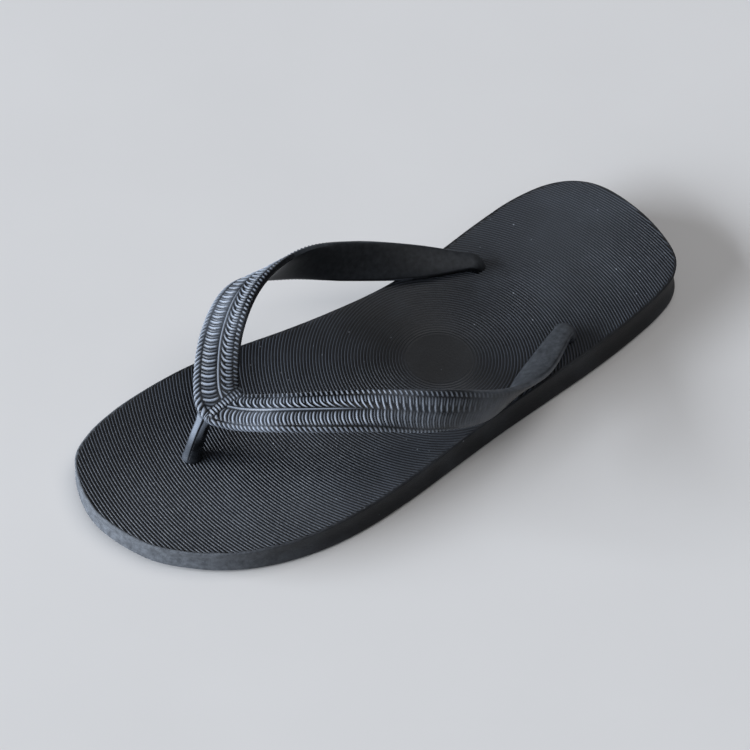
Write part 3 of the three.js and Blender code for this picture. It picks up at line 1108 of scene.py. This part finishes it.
@dataclass
class Band(StrapPiece):
    """Both arms of the strap, joined at the fork, each turned down into its plug."""

    fork: ArmRow = ArmRow(front=(222.6, 6.4, 22.4), rear=(204.5, 3.8, 22.9))
    lateral_arm: tuple[ArmRow, ...] = (
        ArmRow(front=(215.5, 16.5, 23.6), rear=(200.8, 10.0, 26.6)),
        ArmRow(front=(203.1, 33.7, 30.9), rear=(191.8, 21.5, 32.5)),
        ArmRow(front=(176.9, 50.5, 29.9), rear=(169.9, 37.4, 35.9)),
        ArmRow(front=(149.6, 55.7, 17.2), rear=(143.4, 50.5, 31.6)),
        ArmRow(front=(122.8, 54.6, 6.6), rear=(117.3, 55.9, 20.2)),
        ArmRow(front=(97.4, 40.6, 4.2), rear=(92.0, 50.8, 9.0)),
        ArmRow(front=(70.6, 29.0, 3.9), rear=(67.2, 35.6, 3.9)),
    )
    medial_arm: tuple[ArmRow, ...] = (
        ArmRow(front=(219.2, -4.7, 23.1), rear=(201.6, -1.4, 27.2)),
        ArmRow(front=(202.9, -25.3, 29.4), rear=(192.0, -13.5, 34.0)),
        ArmRow(front=(179.9, -40.7, 28.0), rear=(173.2, -27.9, 36.8)),
        ArmRow(front=(153.6, -42.0, 16.4), rear=(147.0, -38.6, 31.6)),
        ArmRow(front=(127.2, -35.2, 5.6), rear=(121.0, -40.7, 19.9)),
        ArmRow(front=(101.1, -22.0, 2.9), rear=(95.5, -33.2, 9.8)),
        ArmRow(front=(77.4, -13.9, 2.5), rear=(74.8, -20.9, 3.1)),
    )
    braid: Braid = Braid()
    half_breadth: float = 8.1
    crown: float = 1.7
    crown_fullness: float = 0.55
    hollow: float = 1.9
    hollow_fullness: float = 0.6
    edge_wrap: float = 0.38
    face_points: int = 74
    back_points: int = 10
    braid_step: float = 0.19
    faded_step: float = 0.36
    plain_step: float = 1.6
    braid_fades: float = 70.0
    braid_end: float = 131.0
    seam_blend: Span = (0.0, 5.0)
    tip_round: float = 0.05
    tip_reach: float = 2.2
    measure_points: int = 4000
    bend_reach: float = 4.3
    bend_depth: float = 3.3
    bend_steps: int = 12
    end_radius: float = 4.3
    neck_radius: float = 3.5
    neck_length: float = 8.0
    collar: Span = (0.5, 0.95)
    # The back is not rubbed: it stays dark, and more matt than the face.
    back_wear: float = -3.0
    back_dust: float = 0.06
    # Pale film on the back near the lateral arm's end: partly dust, partly painted light on that lit tail.
    lateral_dust_and_light: float = 0.12
    lateral_dust_span: Span = (110.0, 126.0)
    medial_dust: float = 0.02
    medial_dust_span: Span = (134.0, 152.0)
    # Pale line along the rear edge: partly dust, partly a painted highlight where light catches that edge.
    edge_dust_and_highlight: float = 0.22
    edge_half: float = 0.4
    edge_span: Span = (84.0, 104.0)

    def edge_line(self, rows: tuple[ArmRow, ...], edge: Edge, share: Array) -> Array:
        """Follow one edge of an arm's table from the fork to its plug, as a curve through its places."""
        return curve_through(self.stand(tuple(row[edge.value] for row in (self.fork, *rows))), share)

    def arm_line(self, rows: tuple[ArmRow, ...], side: Side) -> ArmLine:
        """Work out the course of an arm in steps that are fine along the braid and coarse behind it.

        The way is the length of the middle of both edges. The outward direction stands square to breadth and
        course, and turns upright to meet the other arm at the seam. There the front edge is drawn in.

        Args:
            rows: the arm's table.
            side: which arm it is.

        Returns:
            The course, up to where the arm turns down.
        """
        fine = np.linspace(0, 1, self.measure_points)
        length = run_length(sum(self.edge_line(rows, edge, fine) for edge in Edge) / 2)
        stop = length[-1] - self.bend_reach
        axial = np.concatenate([
            np.arange(0.0, self.braid_fades, self.braid_step),
            np.arange(self.braid_fades, self.braid_end, self.faded_step),
            np.linspace(self.braid_end, stop, int((stop - self.braid_end) / self.plain_step)),
        ])
        front, rear = (self.edge_line(rows, edge, np.interp(axial, length, fine)) for edge in Edge)
        front += (rear - front) * (self.tip_round * np.exp(-((axial / self.tip_reach) ** 2)))[:, None]
        middle = (front + rear) / 2
        half = (rear - front) / 2
        run = unit(np.gradient(middle, axial, axis=0))
        square = unit(np.cross(half, run)) * side.value
        seam = unit(half[0])
        upright = unit(UP - seam * (UP @ seam))
        out = unit(upright + rise(self.seam_blend, axial)[:, None] * (square - upright))
        return ArmLine(axial, front, middle, half, run, out)

    def section(self, angle: Array, rounded: Array) -> Array:
        """Height of the section over its middle plane: powers of the sine above and below it.

        Args:
            angle: angle of each point of a ring.
            rounded: share of each ring from the arm's flat D, 0, to the round end, 1.

        Returns:
            Height of each point of each ring.
        """
        part = rounded[:, None]
        sine = np.sin(angle)
        crown = self.crown + part * (self.end_radius - self.crown)
        hollow = self.hollow + part * (self.end_radius - self.hollow)
        above = np.clip(sine, 0.0, None) ** (self.crown_fullness + part * (1 - self.crown_fullness))
        below = np.clip(-sine, 0.0, None) ** (self.hollow_fullness + part * (1 - self.hollow_fullness))
        return crown * above - hollow * below

    def profile(self) -> tuple[Array, Array]:
        """Section of an arm as a D: a crowned face from front to rear, and a nearly flat back.

        The angle runs from pi at the front edge to 0 at the rear edge and on round the back. Breadth is the
        cosine. The face reaches a little round both edges, and its points are spaced evenly.

        Returns:
            Angle of each point of the section, and place of the face's points as a share of the breadth.
        """
        fine = np.linspace(np.pi + self.edge_wrap, -self.edge_wrap, self.measure_points)
        breadth = self.half_breadth * np.cos(fine)
        length = run_length(np.column_stack([breadth, self.section(fine, np.zeros(1))[0]]))
        even = np.linspace(0, length[-1], self.face_points)
        middle = np.interp(0.0, breadth, length)
        back = np.linspace(-self.edge_wrap, self.edge_wrap - np.pi, self.back_points + 2)[1:-1]
        angle = np.concatenate([np.interp(even, length, fine), back])
        return angle, 0.5 + (even - middle) / (2 * self.half_breadth)

    def braided_rings(self, line: ArmLine, side: Side) -> tuple[Array, Array]:
        """Carry the section along an arm and raise the braid on its face along the surface's normal.

        Near the seam the normal is laid into the seam's own plane, so that both arms meet there.

        Args:
            line: course of the arm.
            side: which arm it is.

        Returns:
            Ring points, and wear of each, which also paints highlights: closeness to the top of a strand on
            the face, below 0 on the back.
        """
        angle, across = self.profile()
        lift = self.section(angle, np.zeros(len(line.axial)))
        rings = line.middle[:, None] + line.half[:, None] * np.cos(angle)[None, :, None]
        rings += line.out[:, None] * lift[..., None]
        face = rings[:, : self.face_points]
        normal = unit(np.cross(np.gradient(face, axis=0), np.gradient(face, axis=1)))
        normal *= np.sign(normal[-1, self.face_points // 2] @ line.out[-1])
        seam_line = unit(line.half[0])
        off_seam = np.cross(line.out[0], seam_line)
        from_front = face - line.front[0]
        seam = np.abs(from_front @ off_seam)
        near = fall((0.0, self.braid.rope_half), seam)
        normal = unit(normal - (near * (normal @ off_seam))[..., None] * off_seam)
        way = line.axial[:, None] + np.einsum("ijk,ik->ij", face - line.middle[:, None], line.run)
        relief, closeness = self.braid.relief(way, across[None], seam, from_front @ seam_line, side)
        rings[:, : self.face_points] += normal * relief[..., None]
        wear_and_highlight = np.full(rings.shape[:2], self.back_wear)
        wear_and_highlight[:, : self.face_points] = closeness
        return rings, wear_and_highlight

    def arm_dust(self, line: ArmLine, side: Side) -> Array:
        """Lay dust and painted light on an arm: a line along its rear edge, partly a painted highlight, and a
        film on its back that grows near the end, on the lateral arm partly painted light.

        Args:
            line: course of the arm.
            side: which arm it is.

        Returns:
            Share of each ring point that dust and painted light cover.
        """
        angle = self.profile()[0]
        edge = self.edge_dust_and_highlight * np.exp(-((angle / self.edge_half) ** 2))
        film = edge[None] * rise(self.edge_span, line.axial)[:, None]
        growth, span = self.lateral_dust_and_light, self.lateral_dust_span
        if side is Side.MEDIAL:
            growth, span = self.medial_dust, self.medial_dust_span
        dust_and_light_share = self.back_dust + growth * rise(span, line.axial)
        film[:, self.face_points :] = np.maximum(film[:, self.face_points :], dust_and_light_share[:, None])
        return film

    def turned_end(self, line: ArmLine) -> Array:
        """Turn the end of an arm down into its round neck.

        The ring goes a quarter circle about a pivot under the arm while its D becomes a circle, and then
        steps in under a collar to the neck.

        Args:
            line: course of the arm.

        Returns:
            Ring points after the last ring of the course.
        """
        angle = self.profile()[0]
        middle, half, run, out = (values[-1] for values in line[2:])
        turn = np.linspace(0, np.pi / 2, self.bend_steps + 1)[1:]
        part = rise((0.0, np.pi / 2), turn)
        spoke = -out * np.cos(turn)[:, None] + run * np.sin(turn)[:, None]
        reach = self.bend_depth + part * (self.bend_reach - self.bend_depth)
        centre = middle + out * self.bend_depth + spoke * reach[:, None]
        half_length = np.linalg.norm(half)
        breadth = unit(half) * (half_length + part * (self.end_radius - half_length))[:, None]
        bend = centre[:, None] + breadth[:, None] * np.cos(angle)[None, :, None]
        bend -= spoke[:, None] * self.section(angle, part)[..., None]
        circle = (bend[-1] - centre[-1]) / self.end_radius
        radius = np.array([self.end_radius, self.end_radius, self.neck_radius, self.neck_radius])
        sunk = np.array([*self.collar, self.collar[1], self.neck_length])
        neck = centre[-1] + circle[None] * radius[:, None, None] + out * sunk[:, None, None]
        return np.concatenate([bend, neck])

    def arm(self, rows: tuple[ArmRow, ...], side: Side) -> tuple[Array, Array, Array]:
        """Work out one arm from the fork to the end of its neck.

        Args:
            rows: the arm's table.
            side: which arm it is.

        Returns:
            Ring points, and wear and dust of each, with the painted highlights and painted light they carry.
        """
        line = self.arm_line(rows, side)
        rings, wear_and_highlight = self.braided_rings(line, side)
        end = self.turned_end(line)
        dust = self.arm_dust(line, side)
        wear_and_highlight, dust = (np.concatenate([film, np.tile(film[-1], (len(end), 1))]) for film in (wear_and_highlight, dust))
        return np.concatenate([rings, end]), wear_and_highlight, dust

    def build(self) -> Piece:
        """Join both arms at the fork into one closed band and dress it.

        Returns:
            The finished piece.
        """
        lateral, lateral_wear_and_highlight, lateral_dust_and_light = self.arm(self.lateral_arm, Side.LATERAL)
        medial, medial_wear_and_highlight, medial_dust = self.arm(self.medial_arm, Side.MEDIAL)
        seam = (lateral[:1] + medial[:1]) / 2
        rings = np.concatenate([lateral[:0:-1], seam, medial[1:]])
        wear_and_highlight = np.concatenate([lateral_wear_and_highlight[:0:-1], medial_wear_and_highlight])
        dust = np.concatenate([lateral_dust_and_light[:0:-1], medial_dust])
        piece = make_piece("strap_band", *closed_rings(rings, rings[[0, -1]].mean(axis=1)))
        return self.dress(piece, wear_and_highlight, dust)


@dataclass
class ToePost(StrapPiece):
    """Round bar from the fork to its plug, with the mould's parting groove and painted highlight streaks down
    it.

    Angles round the bar are in radians, and ways down it are shares of its height over the footbed.
    """

    line: tuple[Place, ...] = (
        (219.2, 3.3, 21.2),
        (220.9, 2.4, 15.0),
        (223.3, 2.0, 6.5),
        (225.0, 2.2, 0.0),
        (225.0, 2.2, -9.0),
    )
    rings: int = 60
    sides: int = 96
    radius: float = 3.4
    top_radius: float = 2.8
    foot_swell: float = 0.55
    foot_reach: float = 1.2
    fork_flare: float = 0.8
    fork_reach: float = 3.0
    parting_turn: float = -0.56
    parting_depth: float = 0.3
    parting_half: float = 0.3
    parting_end: Span = (0.85, 1.0)
    # Painted highlights: a bright streak on the lit side of the post and a dim one near its top on the other
    # side.
    bright_highlight: float = 0.62
    bright_from: Span = (0.08, 0.2)
    bright_to: Span = (0.8, 1.5)
    bright_loss: float = 0.75
    bright_fade: Span = (0.3, 0.8)
    dim_highlight: float = 0.34
    dim_from: Span = (-0.85, -0.55)
    dim_to: Span = (-0.2, -0.08)
    dim_fade: Span = (0.15, 0.6)

    def highlight_streaks(self, past: Array, down: Array) -> Array:
        """Paint a bright highlight streak on one side of the parting groove and a dim one, near the top, on
        the other.

        Args:
            past: angle of each point of a ring past the groove.
            down: way of each ring down the post.

        Returns:
            How far each ring point is paled as a painted highlight.
        """
        bright = rise(self.bright_from, past) * fall(self.bright_to, past)
        dim = rise(self.dim_from, past) * fall(self.dim_to, past)
        lasting = 1 - self.bright_loss * rise(self.bright_fade, down)
        highlight_streak = self.bright_highlight * bright[None] * lasting[:, None]
        return highlight_streak + self.dim_highlight * dim[None] * fall(self.dim_fade, down)[:, None]

    def build(self) -> Piece:
        """Make the bar as a round section carried along its bent line.

        The radius grows evenly with the way down, swells in a bell at the footbed to fill the hole's mouth,
        runs out into the fork in another, and dips in a narrow bell at the angle of the parting groove.

        Returns:
            The finished piece.
        """
        line = curve_through(self.stand(self.line), np.linspace(0, 1, self.rings))
        run = unit(np.gradient(line, axis=0))
        side = unit(np.cross(run, np.array([1.0, 0.0, 0.0])))
        ahead = unit(np.cross(side, run))
        turn = np.linspace(-np.pi, np.pi, self.sides, endpoint=False)
        past = turn - self.parting_turn
        over = line[:, 2] - self.last.top(line[:, 0])
        down = np.clip(1 - over / over[0], 0.0, 1.0)
        swell = self.foot_swell * np.exp(-((over / self.foot_reach) ** 2))
        flare = self.fork_flare * np.exp(-((run_length(line) / self.fork_reach) ** 2))
        radius = self.top_radius + (self.radius - self.top_radius) * down + swell + flare
        groove = self.parting_depth * np.exp(-((past * self.radius / self.parting_half) ** 2))
        radius = radius[:, None] - groove[None] * fall(self.parting_end, down)[:, None]
        rings = line[:, None] + ahead[:, None] * (radius * np.cos(turn))[..., None]
        rings += side[:, None] * (radius * np.sin(turn))[..., None]
        piece = make_piece("toe_post", *closed_rings(rings, line[[0, -1]]))
        return self.dress(piece, self.highlight_streaks(past, down), CLEAN)


@dataclass
class PlugDiscs(StrapPiece):
    """The discs of the three plugs, set back under the sole."""

    diameter: float = 15.0
    thickness: float = 2.8
    recess: float = 0.7
    rounding: float = 0.5
    corner_steps: int = 6
    sides: int = 48

    def build(self) -> Piece:
        """Make the discs: flat buttons with quarter-round edges, turned about their axes.

        Returns:
            The finished piece, all discs joined.
        """
        corner = np.linspace(0, np.pi / 2, self.corner_steps)
        inner = self.diameter / 2 - self.rounding
        low = self.recess + self.rounding
        high = self.recess + self.thickness - self.rounding
        radius = inner + self.rounding * np.concatenate([np.sin(corner), np.cos(corner)])
        height = np.concatenate([low - self.rounding * np.cos(corner), high + self.rounding * np.sin(corner)])
        spots = self.last.plug_spots
        solids = turned_solids(spots, radius, np.tile(height, (len(spots), 1)), self.sides)
        return self.dress(make_piece("plug_discs", *solids), CLEAN, CLEAN)


@dataclass(frozen=True)
class Softbox:
    """Large soft light."""

    name: str
    place: Place
    size: tuple[float, float]
    power: float
    colour_hex: str

    def build(self, aim: Vector) -> Piece:
        """Hang the light and turn it to a point.

        Args:
            aim: point that the light faces.

        Returns:
            The light.
        """
        lamp = bpy.data.lights.new(self.name, "AREA")
        lamp.shape = "RECTANGLE"
        lamp.size, lamp.size_y = self.size
        lamp.energy = self.power
        lamp.color = linear(self.colour_hex)[:3]
        made = bpy.data.objects.new(self.name, lamp)
        made.location = self.place
        made.rotation_euler = (aim - Vector(self.place)).to_track_quat("-Z", "Y").to_euler()
        bpy.context.scene.collection.objects.link(made)
        return made


@dataclass(frozen=True)
class Studio:
    """Plain pale floor, soft light from toe end and ceiling, camera at the photo's angle; sizes in metres."""

    floor_half: float = 4.0
    floor_finish: FloorFinish = FloorFinish()
    camera_place: Place = (0.5047, 0.6259, 0.9010)
    camera_aim: Place = (0.0104, 0.0009, 0.0160)
    camera_roll_deg: float = 3.94
    lens_mm: float = 147.0
    clip_end: float = 50.0
    sky_hex: str = "#e9f1ff"
    sky_strength: float = 0.14
    softboxes: tuple[Softbox, ...] = (
        Softbox("window", place=(7.9, -2.9, 2.4), size=(8.4, 2.6), power=2050.0, colour_hex="#e9f2ff"),
        Softbox("ceiling", place=(-1.3, 0.5, 5.0), size=(4.5, 4.5), power=116.0, colour_hex="#f6f6f8"),
    )

    def build_floor(self) -> Piece:
        """Lay the floor at the sandal's lowest point.

        Returns:
            The floor.
        """
        h = self.floor_half
        mesh = bpy.data.meshes.new("floor")
        mesh.from_pydata([(-h, -h, 0), (h, -h, 0), (h, h, 0), (-h, h, 0)], [], [(0, 1, 2, 3)])
        floor = bpy.data.objects.new("floor", mesh)
        floor.data.materials.append(self.floor_finish.material())
        bpy.context.scene.collection.objects.link(floor)
        return floor

    def build_light(self) -> None:
        """Set the sky's even light, hang the softboxes, and show tones as they are."""
        scene = bpy.context.scene
        world = bpy.data.worlds.new("even_sky")
        world.use_nodes = True
        sky = world.node_tree.nodes["Background"]
        sky.inputs["Color"].default_value = linear(self.sky_hex)
        sky.inputs["Strength"].default_value = self.sky_strength
        scene.world = world
        for box in self.softboxes:
            box.build(Vector((0, 0, 0)))
        scene.view_settings.view_transform = "Standard"

    def build_camera(self) -> Piece:
        """Set the camera at the photo's place, turned to the sandal and rolled as the photo is.

        Returns:
            The camera.
        """
        lens = bpy.data.cameras.new("camera")
        lens.lens = self.lens_mm
        lens.clip_end = self.clip_end
        camera = bpy.data.objects.new("camera", lens)
        look = Vector(self.camera_aim) - Vector(self.camera_place)
        turn = look.to_track_quat("-Z", "Y").to_matrix()
        roll = Matrix.Rotation(np.radians(self.camera_roll_deg), 3, "Z")
        camera.matrix_world = Matrix.Translation(self.camera_place) @ (turn @ roll).to_4x4()
        bpy.context.scene.collection.objects.link(camera)
        bpy.context.scene.camera = camera
        return camera


def main() -> None:
    """Build the sandal's pieces and the studio."""
    logging.basicConfig(level=logging.INFO, format="%(name)s: %(message)s")
    studio = Studio()
    studio.build_camera()
    last = Last()
    for maker in (Sole(last), Band(last), ToePost(last), PlugDiscs(last)):
        piece = maker.build()
        piece.data.calc_loop_triangles()
        log.info("%s: %d triangles", piece.name, len(piece.data.loop_triangles))
    studio.build_floor()
    studio.build_light()


if __name__ == "__main__":
    main()
